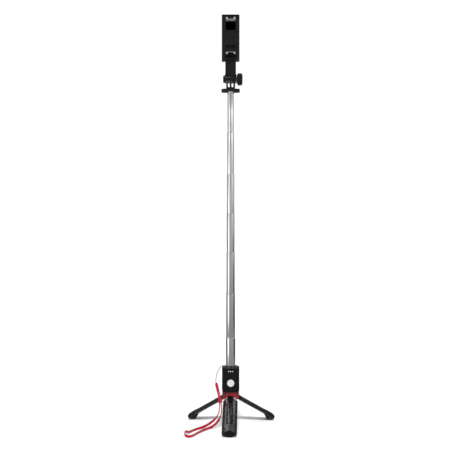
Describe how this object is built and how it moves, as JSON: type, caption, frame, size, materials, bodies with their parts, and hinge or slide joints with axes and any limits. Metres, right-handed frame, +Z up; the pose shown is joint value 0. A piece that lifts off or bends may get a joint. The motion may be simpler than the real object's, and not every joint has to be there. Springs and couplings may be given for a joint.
{
  "type": "selfie stick",
  "caption": "Selfie stick with a spring phone clamp, telescopic steel pole, slide-out shutter remote, fold-out tripod legs and a wrist strap, standing open and extended.",
  "frame": {"origin": "on the floor, at the middle of the box around the open stick without its strap", "axes": "+Z up along the pole, -Y towards the side with the clamp's jaws and the remote, +X to the right seen from that side, towards the tilt knob"},
  "size_m": [0.1518, 0.134, 0.6905],
  "materials": {
    "pole_steel": "polished stainless steel tube",
    "sleeve_brass": "rolled brass",
    "hardware_steel": "bright zinc plated",
    "head_plastic": "black, fine satin grain",
    "jaw_rubber": "dark grey, soft",
    "plug_plastic": "grey, as moulded",
    "body_plastic": "black, satin",
    "remote_plastic": "black, satin",
    "board_laminate": "green lacquered laminate",
    "switch_metal": "plain",
    "button_plastic": "white",
    "collar_plastic": "red, glossy",
    "leg_plastic": "black, soft gloss",
    "shoe_rubber": "black",
    "strap_string": "thin twisted string, pinkish grey",
    "strap_fabric": "flat woven strap, crimson",
    "strap_fittings": "crimson"
  },
  "bodies": {
    "handle": {"front_shell": "body_plastic", "rear_shell": "body_plastic", "top_cap": "body_plastic", "leg_collar": "collar_plastic", "hub_screw": "hardware_steel", "root_plug": "plug_plastic", "pole_section_7": "pole_steel", "front_leg_pin": "hardware_steel", "right_leg_pin": "hardware_steel", "left_leg_pin": "hardware_steel", "strap_string": "strap_string", "strap_ferrule": "strap_fittings", "strap_double_strand": "strap_fabric", "strap_slider": "strap_fittings", "strap_loop": "strap_fabric"},
    "section_6": {"pole_section_6": "pole_steel", "friction_sleeve_6": "sleeve_brass"},
    "section_5": {"pole_section_5": "pole_steel", "friction_sleeve_5": "sleeve_brass"},
    "section_4": {"pole_section_4": "pole_steel", "friction_sleeve_4": "sleeve_brass"},
    "section_3": {"pole_section_3": "pole_steel", "friction_sleeve_3": "sleeve_brass"},
    "section_2": {"pole_section_2": "pole_steel", "friction_sleeve_2": "sleeve_brass"},
    "section_1": {"pole_section_1": "pole_steel", "friction_sleeve_1": "sleeve_brass", "top_stud": "hardware_steel"},
    "lock_wheel": {"lock_wheel": "head_plastic"},
    "swivel": {"three_prong_base": "head_plastic"},
    "clamp": {"clamp_neck": "head_plastic", "hinge_nut": "hardware_steel", "clamp_body": "head_plastic", "clamp_back_cover": "head_plastic", "neck_screw": "hardware_steel", "lower_jaw_pin": "hardware_steel", "clamp_spring": "hardware_steel"},
    "knob": {"thumb_knob": "head_plastic", "hinge_screw": "hardware_steel"},
    "carriage": {"clamp_carriage": "head_plastic", "guide_rod_left": "hardware_steel", "guide_rod_right": "hardware_steel", "upper_jaw_pin": "hardware_steel"},
    "upper_jaw": {"upper_jaw": "head_plastic", "upper_jaw_pad": "jaw_rubber"},
    "lower_jaw": {"lower_jaw": "head_plastic", "lower_jaw_pad": "jaw_rubber"},
    "front_leg": {"front_leg": "leg_plastic", "front_leg_shoe": "shoe_rubber"},
    "right_leg": {"right_leg": "leg_plastic", "right_leg_shoe": "shoe_rubber"},
    "left_leg": {"left_leg": "leg_plastic", "left_leg_shoe": "shoe_rubber"},
    "remote": {"remote_front_cover": "remote_plastic", "remote_rear_cover": "remote_plastic", "remote_circuit_board": "board_laminate", "remote_push_switch": "switch_metal", "remote_coin_cell": "switch_metal"},
    "button": {"shutter_button": "button_plastic"}
  },
  "joints": [
    {"name": "section_6_slide", "type": "slide", "parent": "handle", "child": "section_6", "axis": [0, 0, 1], "range_m": [-0.072, 0]},
    {"name": "section_5_slide", "type": "slide", "parent": "section_6", "child": "section_5", "axis": [0, 0, 1], "range_m": [-0.067, 0]},
    {"name": "section_4_slide", "type": "slide", "parent": "section_5", "child": "section_4", "axis": [0, 0, 1], "range_m": [-0.064, 0]},
    {"name": "section_3_slide", "type": "slide", "parent": "section_4", "child": "section_3", "axis": [0, 0, 1], "range_m": [-0.063, 0]},
    {"name": "section_2_slide", "type": "slide", "parent": "section_3", "child": "section_2", "axis": [0, 0, 1], "range_m": [-0.069, 0]},
    {"name": "section_1_slide", "type": "slide", "parent": "section_2", "child": "section_1", "axis": [0, 0, 1], "range_m": [-0.066, 0]},
    {"name": "lock_wheel_spin", "type": "hinge", "parent": "section_1", "child": "lock_wheel", "pos_m": [-0.00113, 0.01505, 0.564], "axis": [0, 0, 1], "continuous": true},
    {"name": "head_swivel", "type": "hinge", "parent": "section_1", "child": "swivel", "pos_m": [-0.00113, 0.01505, 0.57], "axis": [0, 0, 1], "continuous": true},
    {"name": "clamp_tilt", "type": "hinge", "parent": "swivel", "child": "clamp", "pos_m": [-0.00113, 0.01505, 0.583], "axis": [1, 0, 0], "range_deg": [-90, 90]},
    {"name": "knob_spin", "type": "hinge", "parent": "clamp", "child": "knob", "pos_m": [0.01387, 0.01505, 0.583], "axis": [1, 0, 0], "continuous": true},
    {"name": "carriage_slide", "type": "slide", "parent": "clamp", "child": "carriage", "axis": [0, 0, 1], "range_m": [0, 0.035], "stiffness_N_per_m": 150, "springref_m": -0.05, "deforming": ["clamp_spring"]},
    {"name": "upper_jaw_fold", "type": "hinge", "parent": "carriage", "child": "upper_jaw", "pos_m": [-0.00113, 0.01045, 0.6808], "axis": [1, 0, 0], "range_deg": [0, 90]},
    {"name": "lower_jaw_fold", "type": "hinge", "parent": "clamp", "child": "lower_jaw", "pos_m": [-0.00113, 0.01045, 0.623], "axis": [-1, 0, 0], "range_deg": [0, 90]},
    {"name": "front_leg_fold", "type": "hinge", "parent": "handle", "child": "front_leg", "pos_m": [-0.00155, 0.00306, 0.0493], "axis": [0.9994, -0.0349, 0], "range_deg": [0, 59.6]},
    {"name": "right_leg_fold", "type": "hinge", "parent": "handle", "child": "right_leg", "pos_m": [0.00946, 0.02068, 0.0493], "axis": [-0.4695, 0.8829, 0], "range_deg": [0, 59.6]},
    {"name": "left_leg_fold", "type": "hinge", "parent": "handle", "child": "left_leg", "pos_m": [-0.01131, 0.02141, 0.0493], "axis": [-0.5299, -0.848, 0], "range_deg": [0, 59.6]},
    {"name": "remote_slide", "type": "slide", "parent": "handle", "child": "remote", "axis": [0, 0, 1], "range_m": [0, 0.04]},
    {"name": "button_press", "type": "slide", "parent": "remote", "child": "button", "axis": [0, 1, 0], "range_m": [0, 0.00055], "stiffness_N_per_m": 600, "springref_m": -0.002}
  ]
}
